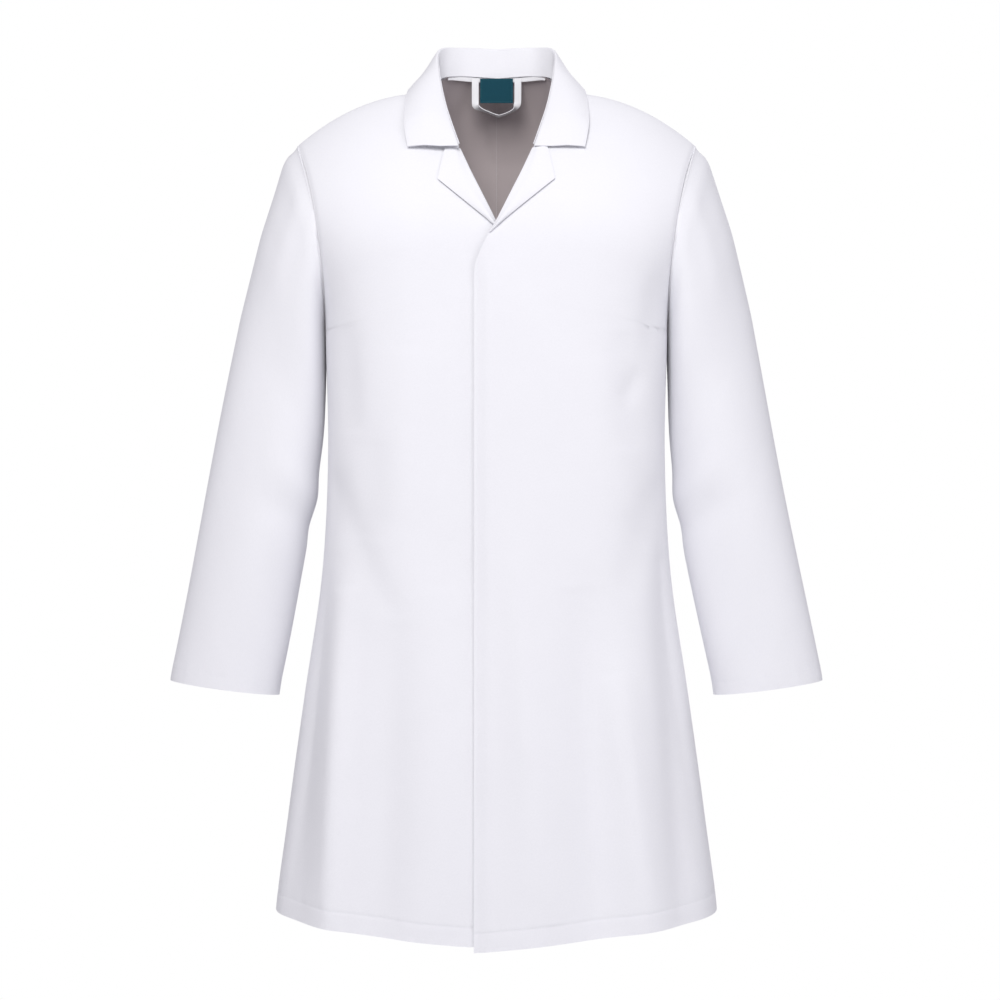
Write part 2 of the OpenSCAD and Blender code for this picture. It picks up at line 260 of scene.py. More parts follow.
BACK_FOLDS = [
    ((60, -560), (66, -1010), 34, 5.0),
    ((120, -520), (130, -1010), 30, -6.0),
    ((180, -560), (196, -1010), 26, 6.0),
    ((150, -240), (130, -420), 28, 2.0),
    ((172, -430), (100, -520), 20, -2.2),
    ((230, -700), (236, -1010), 20, -4.0),
]


def drape(x, z, folds):
    return sum(fold(x, z, *f) for f in folds)


def flare(x, z, phase):
    """Long waves of the skirt, which grow towards the hem."""
    grow = ramp((-z - 520) / 480)
    return 3.2 * grow * np.sin(x / 29.0 + phase) * ramp((250 - np.abs(x)) / 60)


def pucker(along, away, phase=0.0):
    """Small ripples that a row of stitching draws into the cloth."""
    wave = np.sin(along / 2.9 + phase) + 0.6 * np.sin(along / 4.7 + 2 * phase)
    return 0.22 * wave * np.exp(-(away / 9.0) ** 2)


# ---- grids, shells and meshes ----

def shares_along(length, step, count=None):
    """Even shares of a length, with closer ones at both ends."""
    ends = np.array([0, 1.5, 3.5])
    n = count or max(6, int(length / step))
    inner = np.linspace(6.5, length - 6.5, n)
    return np.concatenate([ends, inner, length - ends[::-1]]) / length


def lengths_along(points):
    steps = np.linalg.norm(np.diff(points, axis=0), axis=-1)
    return np.concatenate([[0], np.cumsum(steps)])


def resample(points, shares):
    along = lengths_along(points)
    target = np.asarray(shares) * along[-1]
    return np.stack([np.interp(target, along, points[:, k]) for k in range(points.shape[1])], 1)


def grid_normals(grid, wrap=False):
    down = np.gradient(grid, axis=0)
    if wrap:
        along = np.roll(grid[:, :-1], -1, 1) - np.roll(grid[:, :-1], 1, 1)
        along = np.concatenate([along, along[:, :1]], 1)
    else:
        along = np.gradient(grid, axis=1)
    n = np.cross(down, along)
    return n / np.maximum(np.linalg.norm(n, axis=-1, keepdims=True), 1e-9)


def grid_uv(grid):
    """Lengths along the rows and down the columns, in metres."""
    across = np.linalg.norm(np.diff(grid, axis=1), axis=-1)
    down = np.linalg.norm(np.diff(grid, axis=0), axis=-1)
    u = np.concatenate([np.zeros((len(grid), 1)), np.cumsum(across, 1)], 1)
    v = np.concatenate([np.zeros((1, grid.shape[1])), np.cumsum(down, 0)], 0)
    return np.stack([u, -v], -1) * MM


def displaced(grid, height, out=1, wrap=False):
    return grid + (out * height)[..., None] * grid_normals(grid, wrap)


def mirrored(grid, side):
    return grid if side > 0 else grid * np.array([-1, 1, 1])


def shell(grid, thickness=CLOTH, out=1, wrap=False, inside=0):
    """A closed sheet: the grid is its outer face. Returns points, faces, UVs and slots."""
    rows, cols = grid.shape[:2]
    uv = grid_uv(grid)
    inner = grid - (out * np.broadcast_to(thickness, (rows, cols)))[..., None] * grid_normals(grid, wrap)
    used = cols - 1 if wrap else cols
    points = np.concatenate([grid[:, :used].reshape(-1, 3), inner[:, :used].reshape(-1, 3)])
    flat_uv = np.concatenate([uv.reshape(-1, 2)] * 2)
    i, j = np.meshgrid(np.arange(rows - 1), np.arange(cols - 1), indexing="ij")
    i, j = i.ravel(), j.ravel()

    def at(layer, a, b):
        return np.stack([layer * rows * used + a * used + b % used,
                         layer * rows * cols + a * cols + b], -1)

    outer = np.stack([at(0, i, j), at(0, i + 1, j), at(0, i + 1, j + 1), at(0, i, j + 1)], 1)
    back = np.stack([at(1, i, j), at(1, i, j + 1), at(1, i + 1, j + 1), at(1, i + 1, j)], 1)
    c = np.arange(cols - 1)
    r = np.arange(rows - 1)
    top, low = np.zeros_like(c), np.full_like(c, rows - 1)
    rims = [
        np.stack([at(0, low, c), at(1, low, c), at(1, low, c + 1), at(0, low, c + 1)], 1),
        np.stack([at(0, top, c), at(0, top, c + 1), at(1, top, c + 1), at(1, top, c)], 1)]
    if not wrap:
        left, right = np.zeros_like(r), np.full_like(r, cols - 1)
        rims += [
            np.stack([at(0, r, left), at(1, r, left), at(1, r + 1, left), at(0, r + 1, left)], 1),
            np.stack([at(0, r, right), at(0, r + 1, right), at(1, r + 1, right), at(1, r, right)], 1)]
    quads = np.concatenate([outer, back] + rims)
    slots = np.zeros(len(quads), int)
    slots[len(outer):len(outer) + len(back)] = inside
    if out < 0:
        quads = quads[:, ::-1]
    return points, quads[..., 0], flat_uv[quads[..., 1]], slots


def at_grid(grid, rows, cols):
    """Points of a grid at fractional rows and columns."""
    r0 = np.clip(np.floor(rows).astype(int), 0, grid.shape[0] - 2)
    c0 = np.clip(np.floor(cols).astype(int), 0, grid.shape[1] - 2)
    fr, fc = (rows - r0)[:, None], (cols - c0)[:, None]
    top = mix(grid[r0, c0], grid[r0, c0 + 1], fc)
    low = mix(grid[r0 + 1, c0], grid[r0 + 1, c0 + 1], fc)
    return mix(top, low, fr)


def stitch_row(grid, rows, cols, out=1, lift=0.08):
    """Thread stitches on a grid's outer face, along fractional rows and columns."""
    path = at_grid(grid, rows, cols)
    normal = at_grid(grid_normals(grid), rows, cols) * out
    along = lengths_along(path)
    centres = np.arange(STITCH_PITCH, along[-1] - STITCH_PITCH / 2, STITCH_PITCH)
    pick = [np.stack([np.interp(centres, along, a[:, k]) for k in range(3)], 1) for a in (path, normal)]
    ahead = np.stack([np.interp(centres + 0.5, along, path[:, k]) for k in range(3)], 1)
    t = ahead - pick[0]
    t /= np.maximum(np.linalg.norm(t, axis=1, keepdims=True), 1e-9)
    n = pick[1] / np.linalg.norm(pick[1], axis=1, keepdims=True)
    b = np.cross(t, n)
    sides = 6
    turn = np.arange(sides) * 2 * np.pi / sides
    rings = [(-0.5, 0.3, -0.25), (-0.3, 1, 0), (0.3, 1, 0), (0.5, 0.3, -0.25)]
    points = []
    for place, size, sink in rings:
        for a in turn:
            offset = (place * STITCH_LENGTH * t + size * STITCH_RADIUS * math.cos(a) * b
                      + (size * STITCH_RADIUS * math.sin(a) + lift + sink) * n)
            points.append(pick[0] + offset)
    points = np.stack(points, 1)
    template = [[k * sides + a, k * sides + (a + 1) % sides,
                 (k + 1) * sides + (a + 1) % sides, (k + 1) * sides + a]
                for k in range(len(rings) - 1) for a in range(sides)]
    last = (len(rings) - 1) * sides
    caps = [[5, 4, 3, 2], [5, 2, 1, 0],
            [last, last + 1, last + 2, last + 3], [last, last + 3, last + 4, last + 5]]
    template = np.array(template + caps)[:, ::-1]
    count = points.shape[1]
    quads = (template[None] + (np.arange(len(points)) * count)[:, None, None]).reshape(-1, 4)
    uv = np.zeros((len(quads), 4, 2))
    uv[..., 0] = (points.reshape(-1, 3) @ np.array([1, 0.3, 0.2]))[quads] * MM
    uv[..., 1] = (points.reshape(-1, 3) @ np.array([0.1, 0.2, 1]))[quads] * MM
    return points.reshape(-1, 3), quads, uv, np.ones(len(quads), int)


def make_object(name, parts, materials):
    """One mesh object from shells and stitch rows."""
    points, quads, uvs, slots, start = [], [], [], [], 0
    for p, q, uv, s in parts:
        points.append(p)
        quads.append(q + start)
        uvs.append(uv.reshape(-1, 2))
        slots.append(s)
        start += len(p)
    quads = np.concatenate(quads)
    mesh = bpy.data.meshes.new(name)
    mesh.from_pydata((np.concatenate(points) * MM).tolist(), [], quads.tolist())
    layer = mesh.uv_layers.new(name="panel")
    layer.data.foreach_set("uv", np.concatenate(uvs).astype(np.float32).ravel())
    for m in materials:
        mesh.materials.append(m)
    mesh.polygons.foreach_set("material_index", np.concatenate(slots).astype(np.int32))
    mesh.polygons.foreach_set("use_smooth", np.ones(len(quads), bool))
    mesh.set_sharp_from_angle(angle=math.radians(55))
    mesh.update()
    obj = bpy.data.objects.new(name, mesh)
    bpy.context.scene.collection.objects.link(obj)
    return obj


# ---- materials ----

def node(tree, kind, **values):
    n = tree.nodes.new(kind)
    for key, value in values.items():
        if hasattr(n, key):
            setattr(n, key, value)
        else:
            n.inputs[key.replace("_", " ")].default_value = value
    return n


def new_material(name):
    m = bpy.data.materials.new(name)
    m.use_nodes = True
    return m, m.node_tree, m.node_tree.nodes["Principled BSDF"]


def woven(name, base, pitch, roughness=0.86, bump=0.35, variation=0.03, sheen=0.12, diagonal=True):
    """Woven cloth: twill or plain threads in panel lengths, with a slight unevenness."""
    m, tree, shader = new_material(name)
    links = tree.links
    uv = node(tree, "ShaderNodeUVMap", uv_map="panel")
    waves = []
    for angle in ((45, -45) if diagonal else (0, 90)):
        turn = node(tree, "ShaderNodeMapping")
        turn.inputs["Rotation"].default_value = (0, 0, math.radians(angle))
        links.new(uv.outputs["UV"], turn.inputs["Vector"])
        wave = node(tree, "ShaderNodeTexWave", Scale=0.314 / pitch, Distortion=0.6, Detail=1.0)
        links.new(turn.outputs["Vector"], wave.inputs["Vector"])
        waves.append(wave)
    weave = node(tree, "ShaderNodeMix", data_type="FLOAT")
    weave.inputs[0].default_value = 0.28 if diagonal else 0.5
    links.new(waves[0].outputs["Fac"], weave.inputs[2])
    links.new(waves[1].outputs["Fac"], weave.inputs[3])
    slub = node(tree, "ShaderNodeTexNoise", Scale=420.0, Detail=3.0, Roughness=0.6)
    cloud = node(tree, "ShaderNodeTexNoise", Scale=14.0, Detail=4.0, Roughness=0.55)
    links.new(uv.outputs["UV"], slub.inputs["Vector"])
    links.new(uv.outputs["UV"], cloud.inputs["Vector"])
    tint = node(tree, "ShaderNodeMix", data_type="RGBA")
    tint.inputs[6].default_value = (*[c * (1 - variation) for c in base], 1)
    tint.inputs[7].default_value = (*base, 1)
    links.new(cloud.outputs["Fac"], tint.inputs[0])
    shade = node(tree, "ShaderNodeMix", data_type="RGBA", blend_type="MULTIPLY")
    shade.inputs[0].default_value = variation * 2
    links.new(tint.outputs[2], shade.inputs[6])
    links.new(slub.outputs["Fac"], shade.inputs[7])
    links.new(shade.outputs[2], shader.inputs["Base Color"])
    rough = node(tree, "ShaderNodeMapRange")
    rough.inputs["To Min"].default_value = roughness - 0.06
    rough.inputs["To Max"].default_value = roughness + 0.06
    links.new(slub.outputs["Fac"], rough.inputs["Value"])
    links.new(rough.outputs["Result"], shader.inputs["Roughness"])
    threads = node(tree, "ShaderNodeBump", Strength=bump, Distance=0.00012)
    links.new(weave.outputs[0], threads.inputs["Height"])
    soft = node(tree, "ShaderNodeBump", Strength=0.12, Distance=0.0009)
    crumple = node(tree, "ShaderNodeTexNoise", Scale=55.0, Detail=3.0, Roughness=0.5)
    links.new(uv.outputs["UV"], crumple.inputs["Vector"])
    links.new(crumple.outputs["Fac"], soft.inputs["Height"])
    links.new(soft.outputs["Normal"], threads.inputs["Normal"])
    links.new(threads.outputs["Normal"], shader.inputs["Normal"])
    shader.inputs["Sheen Weight"].default_value = sheen
    shader.inputs["Sheen Roughness"].default_value = 0.5
    shader.inputs["Specular IOR Level"].default_value = 0.25
    return m


def stud_metal():
    """Satin nickel plate with fine turning marks and slight wear."""
    m, tree, shader = new_material("satin_nickel")
    where = node(tree, "ShaderNodeTexCoord")
    marks = node(tree, "ShaderNodeTexNoise", Scale=900.0, Detail=3.0)
    wear = node(tree, "ShaderNodeTexNoise", Scale=160.0, Detail=4.0)
    for n in (marks, wear):
        tree.links.new(where.outputs["Object"], n.inputs["Vector"])
    tint = node(tree, "ShaderNodeMix", data_type="RGBA")
    tint.inputs[6].default_value = (0.52, 0.51, 0.50, 1)
    tint.inputs[7].default_value = (0.74, 0.74, 0.76, 1)
    tree.links.new(wear.outputs["Fac"], tint.inputs[0])
    tree.links.new(tint.outputs[2], shader.inputs["Base Color"])
    rough = node(tree, "ShaderNodeMapRange")
    rough.inputs["To Min"].default_value = 0.24
    rough.inputs["To Max"].default_value = 0.42
    tree.links.new(marks.outputs["Fac"], rough.inputs["Value"])
    tree.links.new(rough.outputs["Result"], shader.inputs["Roughness"])
    bump = node(tree, "ShaderNodeBump", Strength=0.15, Distance=0.0001)
    tree.links.new(marks.outputs["Fac"], bump.inputs["Height"])
    tree.links.new(bump.outputs["Normal"], shader.inputs["Normal"])
    shader.inputs["Metallic"].default_value = 1.0
    return m


COAT = woven("coat_twill", (0.90, 0.90, 0.935), 0.0008)
# The darker, warmer grey of the back's inner face is painted shade: the inside of the back is the same
# white cloth, shadowed where it shows through the neck.
PAINTED_SHADE_INSIDE = woven("painted_shade_coat_inside", (0.54, 0.475, 0.48), 0.0008)
THREAD = woven("thread", (0.88, 0.88, 0.915), 0.0003, roughness=0.7)
TAPE = woven("tape_weave", (0.93, 0.93, 0.95), 0.0006, diagonal=False)
LABEL = woven("label_weave", (0.004, 0.060, 0.090), 0.00035, roughness=0.8, bump=0.5, sheen=0.0,
              diagonal=False)
METAL = stud_metal()
CLOTH_SET = [COAT, THREAD, PAINTED_SHADE_INSIDE]


# ---- fronts, facings and fly ----

def front_row(side, v, z_in, z_out, x_in, x_out, dense=260):
    """A row across a front, from its edge to the side seam or armhole."""
    t = np.sin(np.pi / 2 * np.linspace(0, 1, dense)) ** (2 / 3)
    x = mix(x_in, x_out, t)
    z = mix(z_in, z_out, t) + (1 - ramp(v * 6)) * (ridge(x) + SHOULDER_DROP * t)
    y = np.minimum(front_y(x, z), -0.2) + set_back(x, side)
    return np.stack([x, y, z], 1)


def down_shares(column, step, feature_from_end=()):
    """Shares down a panel: even along its length, and closer at its ends and features."""
    length = lengths_along(column)[-1]
    shares = list(shares_along(length, step))
    for d in feature_from_end:
        shares += [1 - (d + e) / length for e in (-1.6, -0.6, 0, 0.6, 1.6)]
    shares = np.unique(np.round(shares, 6))
    keep = [shares[0]] + [b for a, b in zip(shares[:-1], shares[1:]) if (b - a) * length > 0.4]
    return np.array(keep)


def front_grid(side):
    folds = LEFT_FOLDS if side > 0 else RIGHT_FOLDS
    v_dense = np.linspace(0, 1, 500) ** 1.5
    hem_in = hem_z(-OVERLAP)

    def ends(v):
        z_in, z_out = mix(0.0, hem_in, v), mix(-SHOULDER_DROP, hem_z(HEM_HALF), v)
        return v, z_in, z_out, edge_x(z_in), armhole_x(z_out) - 0.4 * (z_out > -ARMPIT_DROP)

    middle = np.stack([resample(front_row(side, *ends(v)), [0.4])[0] for v in v_dense])
    shares = down_shares(middle, GRID_STEP, (HEM_WIDTH,))
    along = lengths_along(middle) / lengths_along(middle)[-1]
    rows = np.interp(shares, along, v_dense)
    count = int(320 / GRID_STEP)
    lines = []
    for v in rows:
        line = front_row(side, *ends(v))
        lines.append(resample(line, shares_along(lengths_along(line)[-1], GRID_STEP, count)))
    grid = np.stack(lines)
    x, z = grid[..., 0], grid[..., 2]
    keep_edge = ramp((x - edge_x(z)) / 60) * ramp((-z - 60) / 160)
    side_fade = ramp((1.0 - np.abs(x) / np.maximum(armhole_x(z), 1)) / 0.06)
    height = drape(x, z, folds) * keep_edge * side_fade + flare(x, z, 0.6 * side) * keep_edge * side_fade
    uv = grid_uv(grid) / MM
    from_hem = uv[-1:, :, 1] * -1 + uv[..., 1]
    height = height + pucker(uv[..., 0], from_hem - HEM_WIDTH, side)
    height = height - HEM_GROOVE * np.exp(-((from_hem - HEM_WIDTH) / 1.5) ** 2)
    height = height - SEAM_GROOVE * np.exp(-(seam_distance(grid) / SEAM_REACH) ** 2)
    grid = displaced(grid, height)
    if side > 0:
        # The closed edge settles against the front below it.
        grid[..., 1] += 4.2 * ramp((-9 - x) / 16) * ramp((-z - 190) / 60)
    else:
        # The corner of the under front is lifted clear of the hem that covers it.
        grid[..., 2] += UNDER_LIFT * ramp((40 - x) / 66) * ramp((-z - 860) / 150)
    return grid


def down_lengths(grid):
    """Length down each column from the top edge of a panel."""
    steps = np.linalg.norm(np.diff(grid, axis=0), axis=-1)
    return np.concatenate([np.zeros((1, grid.shape[1])), np.cumsum(steps, 0)])


def seam_distance(grid):
    """Distance of each point from the top edge and from the outer edge of a panel."""
    down = down_lengths(grid)
    across = np.linalg.norm(np.diff(grid, axis=1), axis=-1)
    out = np.concatenate([np.cumsum(across[:, ::-1], 1)[:, ::-1], np.zeros((len(grid), 1))], 1)
    return np.minimum(down, out)


def hem_thickness(grid, width, plain=CLOTH, double=HEM_CLOTH):
    down = down_lengths(grid)
    from_hem = down[-1:] - down
    return mix(double, plain, ramp((from_hem - width) / 1.2))


def row_at(grid, from_hem):
    """Fractional row of each column at a distance above the hem."""
    down = down_lengths(grid)
    rows = np.arange(len(grid))
    return np.array([np.interp(down[-1, j] - from_hem, down[:, j], rows) for j in range(grid.shape[1])])


def hem_stitches(grid, from_hem, out=1, start=0, end=None):
    cols = np.arange(grid.shape[1], dtype=float)[start:end]
    rows = row_at(grid, from_hem)[start:end]
    return stitch_row(grid, rows, cols, out)


OPENING = {1: ((-0.030, -0.1232, -0.232), (0.230, -0.1285, -1.000)),
           -1: ((0.030, -0.126, -0.414), (-0.230, -0.137, -1.000))}


def blend_opening(obj, side):
    """Bakes the front's placement into its mesh; the line it would fold along when it opens is worked out
    here but not used.
    """
    a, b = (Vector(p) for p in OPENING[side])
    d = (b - a).normalized()
    across = Vector((d.z * side, 0, -d.x * side)).normalized()
    if across.z > 0:
        across.negate()
    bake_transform(obj)


def side_name(side):
    return "left" if side > 0 else "right"


def build_front(side):
    name = side_name(side)
    grid = mirrored(front_grid(side), side)
    parts = [shell(grid, hem_thickness(grid, HEM_WIDTH), out=side), hem_stitches(grid, HEM_WIDTH, side)]
    obj = make_object(name + "_front_cloth", parts, CLOTH_SET)
    blend_opening(obj, side)
    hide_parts(name + "_front_body", name + "_front_flap")


def strip_grid(side, x_from, x_to, top, bottom, layer, cols=14):
    rows = int((top - bottom) / 8)
    z = np.linspace(top, bottom, rows)[:, None]
    x_in = np.maximum(edge_x(z) + 1.2, x_from)
    x = mix(x_in, x_to, np.linspace(0, 1, cols)[None])
    z = z + 0 * x
    y = np.minimum(front_y(x, z), -0.2) + set_back(x, side) + layer * LAYER_PITCH
    keep = ramp((x - edge_x(z)) / 60) * ramp((-z - 60) / 160)
    folds = LEFT_FOLDS if side > 0 else RIGHT_FOLDS
    y = y - (drape(x, z, folds) + flare(x, z, 0.6 * side)) * keep
    if side > 0:
        y = y + 4.2 * ramp((-9 - x) / 16) * ramp((-z - 190) / 60)
    return np.stack([x, y, z], -1)


def build_facing(side):
    name = side_name(side)
    grid = mirrored(strip_grid(side, -OVERLAP + 1, 55, -75, -COAT_LENGTH + 12, 1), side)
    obj = make_object(name + "_facing_cloth", [shell(grid, CLOTH, out=side)], CLOTH_SET)
    blend_opening(obj, side)
    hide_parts(name + "_facing_top", name + "_facing_flap")


def build_fly_band():
    grid = strip_grid(1, -12, 22, -192, -850, 2, cols=7)
    edge = np.linspace(1, len(grid) - 2, 300)
    parts = [shell(grid, CLOTH, out=1), stitch_row(grid, edge, np.full(300, 5.6), 1)]
    obj = make_object("fly_band_cloth", parts, CLOTH_SET)
    blend_opening(obj, 1)
    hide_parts("fly_band_top", "fly_band")


# ---- back ----

def back_grid():
    v_dense = np.linspace(0, 1, 500) ** 1.5

    def row(v, dense=300):
        z_out = mix(-SHOULDER_DROP, hem_z(HEM_HALF), v)
        x_out = armhole_x(z_out) - 0.4 * (z_out > -ARMPIT_DROP)
        t = np.sin(np.pi / 2 * np.linspace(0, 1, dense)) ** (2 / 3)
        x = 0.02 + t * (x_out - 0.02)
        top = np.where(x < NECK_HALF, back_neck_z(x), ridge(x))
        outward = (x / x_out) ** 1.2
        z = (mix(mix(BACK_NECK_RISE, -COAT_LENGTH, v), z_out, outward)
             + (1 - ramp(v * 6)) * (top - mix(BACK_NECK_RISE, -SHOULDER_DROP, outward)))
        y = np.maximum(back_y(x, z), 0.2)
        return np.stack([x, y, z], 1)

    middle = np.stack([resample(row(v), [0.5])[0] for v in v_dense])
    shares = down_shares(middle, GRID_STEP, (HEM_WIDTH,))
    along = lengths_along(middle) / lengths_along(middle)[-1]
    lines = []
    for v in np.interp(shares, along, v_dense):
        line = row(v)
        lines.append(resample(line, shares_along(lengths_along(line)[-1], GRID_STEP, int(300 / GRID_STEP))))
    return np.stack(lines)


def build_back(side):
    name = side_name(side)
    grid = back_grid()
    x, z = grid[..., 0], grid[..., 2]
    keep = ramp((-z - 60) / 160) * ramp((1.0 - x / np.maximum(armhole_x(z), 1)) / 0.06) * ramp(x / 40)
    height = (drape(x, z, BACK_FOLDS) + flare(x, z, 1.3)) * keep
    uv = grid_uv(grid) / MM
    height = height + pucker(uv[..., 0], uv[-1:, :, 1] * -1 + uv[..., 1] - HEM_WIDTH, 2.0 * side)
    centre = np.exp(-(uv[..., 0] / 3.0) ** 2)
    height = height - 1.1 * np.exp(-(seam_distance(grid) / 4.0) ** 2) - 0.8 * centre
    grid = mirrored(displaced(grid, height, out=-1), side)
    # The back's inner faces take slot 2, the darker painted-shade material.
    parts = [shell(grid, hem_thickness(grid, HEM_WIDTH), out=-side, inside=2),
             hem_stitches(grid, HEM_WIDTH, -side)]
    rows = np.linspace(1, len(grid) - 2, 900)
    parts.append(stitch_row(grid, rows, np.full(900, 3.0), -side))
    obj = make_object("back_" + name + "_cloth", parts, CLOTH_SET)
    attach(obj, "coat_body")
    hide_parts("back_" + name + "_panel")


# ---- sleeves ----

def sleeve_outer(m):
    z = mix(-SHOULDER_DROP, -CUFF_DROP + 10, m)
    x = soft_lookup(m, [(0, SHOULDER_HALF), (0.03, SHOULDER_HALF + 15), (0.09, SHOULDER_HALF + 27),
                        (0.165, SHOULDER_HALF + 42), (0.32, SHOULDER_HALF + 66),
                        (1, CUFF_REACH + CUFF_HALF)], 0.012)
    x = mix(SHOULDER_HALF, x, ramp(m / 0.02))
    return np.stack([x, 0 * z, z], -1)


def sleeve_inner(m):
    z = mix(-ARMPIT_DROP, -CUFF_DROP - 8, m)
    x = soft_lookup(m, [(0, CHEST_HALF), (0.28, CHEST_HALF + 2.5), (0.5, CHEST_HALF + 14),
                        (0.63, CHEST_HALF + 26), (1, CUFF_REACH - CUFF_HALF)], 0.05)
    return np.stack([x, 0 * z, z], -1)


def sleeve_ring(m, dense=400):
    """A ring that starts and ends at the underarm seam and goes round by the front."""
    outer, inner = sleeve_outer(m), sleeve_inner(m)
    centre, half = (outer + inner) / 2, (outer - inner) / 2
    bow = ARMHOLE_BOW * (1 - ramp(m / 0.3))
    power = mix(ARCH_POWER * 2, 1, ramp(m / 0.2))
    turn = np.pi - np.linspace(0, 2 * np.pi, dense)
    front = np.sin(turn) > 0
    depth = mix(np.where(front, ARMHOLE_FRONT, ARMHOLE_BACK), mix(60, CUFF_DEPTH, m), ramp(m / 0.35))
    round_down = np.sin(np.pi * (1 - np.cos(turn)) / 2)
    head = 1 - ramp(m / 0.12)
    swell = mix(np.abs(np.sin(turn)) ** power, np.maximum(round_down, 0) ** ARCH_POWER, head)
    x = centre[0] + half[0] * np.cos(turn) - bow * mix(1 - np.cos(turn) ** 2, round_down, head)
    y = -np.sign(np.sin(turn)) * depth * swell
    z = centre[2] + half[2] * np.cos(turn)
    return np.stack([x, y, z], 1)


# How far each hidden ring of a sleeve head goes in past the seam, and how much smaller it is
SLEEVE_TUCKS = ((8.0, 2.4), (3.0, 2.0))


def sleeve_folds(turn, m, side):
    """Long soft folds of a hanging sleeve, with short ones at the elbow and the armhole."""
    long_folds = 2.2 * np.sin(3 * turn + 5.0 * m + side) * np.sin(np.pi * share((m - 0.05) / 0.92)) ** 0.8
    outward = np.cos(turn)
    ridge_at = (m - 0.50 - 0.05 * outward) / 0.045
    hollow_at = (m - 0.58 - 0.04 * outward) / 0.04
    elbow = 2.6 * np.exp(-ridge_at ** 2) * ramp(0.3 - outward)
    elbow = elbow - 2.2 * np.exp(-hollow_at ** 2) * ramp(0.4 - outward)
    head = 1.8 * np.exp(-((turn - 1.0) / 0.22) ** 2) * np.exp(-((m - 0.10) / 0.10) ** 2)
    return long_folds + elbow + head


def seam_allowance(ring):
    """Two rings that carry a sleeve's head inside the armhole, where it is sewn."""
    middle = ring[:-1].mean(axis=0)
    rings = []
    for tuck, inset in SLEEVE_TUCKS:
        spread = ring - middle
        size = np.linalg.norm(spread, axis=1, keepdims=True)
        rings.append(middle + spread * (1 - inset / size) - np.array([tuck, 0, 0]))
    return np.stack(rings)


def build_sleeve(side):
    name = side_name(side)
    length = CUFF_DROP - SHOULDER_DROP
    dense = np.linspace(0, 1, 300)
    column = np.stack([(sleeve_outer(m) + sleeve_inner(m)) / 2 for m in dense])
    shares = down_shares(column, GRID_STEP, (CUFF_HEM,))
    count = int(470 / GRID_STEP)
    rings = np.stack([resample(sleeve_ring(m), np.linspace(0, 1, count + 1)) for m in shares])
    rings[:, -1] = rings[:, 0]
    turn = np.pi - np.linspace(0, 2 * np.pi, count + 1)[None]
    m = shares[:, None]
    from_cuff = (1 - m) * length
    height = sleeve_folds(turn, m, side) + pucker(np.round(turn * 12) / 12 * 60, from_cuff - CUFF_HEM, side)
    height = height - 1.2 * np.exp(-(m * length / 4.0) ** 2)
    height[:, -1] = height[:, 0]
    fade = ramp(m * length / 26)
    height = height * fade - 1.0 * (1 - ramp(m * length / 5))
    grid = displaced(rings, height, out=1, wrap=True)
    grid = mirrored(np.concatenate([seam_allowance(grid[0]), grid]), side)
    from_cuff = np.concatenate([np.full((2, 1), length), from_cuff])
    thickness = mix(HEM_CLOTH, CLOTH, ramp((from_cuff - CUFF_HEM) / 1.2)) + 0 * turn
    parts = [shell(grid, thickness, out=side, wrap=True), hem_stitches(grid, CUFF_HEM, side)]
    obj = make_object(name + "_sleeve_cloth", parts, CLOTH_SET)
    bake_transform(obj)
    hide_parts(name + "_sleeve")


# ---- collar and lapels ----

NECK_SEAM = [(0, 62, 29), (46, 48, 29), (69, 21, 20), (70, -8, -2), (58, -36, -34), (40, -70, -79)]
FOLD_LINE = [(0, 66, 66), (46, 57, 66), (70, 32, 58), (70, -5, 26), (61, -43, -24), (44, -83, -80)]
OUTER_EDGE = [(0, 101, -6), (60, 81, -12), (100, 49, -18), (108, 5, 3), (111, -54, -42), (105, -83, -80)]
STAND_END = 0.98
COLLAR_CLOTH = 1.1
ROLL_RADIUS = 1.9


def unit(v):
    return v / np.maximum(np.linalg.norm(v, axis=-1, keepdims=True), 1e-9)


def collar_leaf_grid(cols):
    """Half of the collar's fall: a roll over the fold line, then down to its edge."""
    s = np.linspace(0, 1, cols)
    fold_at, edge_at = curve(FOLD_LINE, s), curve(OUTER_EDGE, s)
    tangent = unit(np.gradient(fold_at, axis=0))
    tangent[0] = (1, 0, 0)
    reach = edge_at - fold_at
    down = unit(reach - np.sum(reach * tangent, axis=1)[:, None] * tangent)
    outward = unit(fold_at * np.array([1, 1, 0])) + np.array([0, 0, 0.6])
    proud = unit(np.cross(tangent, down))
    proud *= np.sign(np.sum(proud * outward, axis=1))[:, None]
    centre = fold_at + down * ROLL_RADIUS
    rows = []
    for a in np.linspace(-0.15, 0.92, 9) * np.pi:
        rows.append(centre + ROLL_RADIUS * (-math.cos(a) * proud - math.sin(a) * down))
    last = rows[-1]
    gorge = ramp((s - 0.82) / 0.18)[:, None]
    for t in np.linspace(0, 1, 26)[1:]:
        swell = 4.2 * math.sin(math.pi * t) ** 0.8 * (1 - gorge * (1 - 0.5 * float(ramp((t - 0.3) / 0.4))))
        rows.append(mix(last, edge_at, t) + proud * swell)
    return np.stack(rows)


def build_collar_stand():
    """The stand runs the whole seam and narrows into the fold line at the gorges."""
    s = np.linspace(-STAND_END, STAND_END, 90)
    flip = np.stack([np.sign(s) + (s == 0), 1 + 0 * s, 1 + 0 * s], 1)
    seam, top = curve(NECK_SEAM, np.abs(s)) * flip, curve(FOLD_LINE, np.abs(s)) * flip
    low = (0.80 * ramp((np.abs(s) - 0.72) / 0.22) - 0.02)[:, None]
    rows = [mix(seam, top, mix(low, 0.93, t)) for t in np.linspace(0, 1, 10)]
    grid = np.stack(rows)[::-1]
    grid[..., 1] += 0.35 * np.sin(s * 34)[None]
    parts = [shell(grid, COLLAR_CLOTH, out=-1)]
    obj = make_object("collar_stand_cloth", parts, CLOTH_SET)
    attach(obj, "coat_body")
    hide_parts("collar_stand")


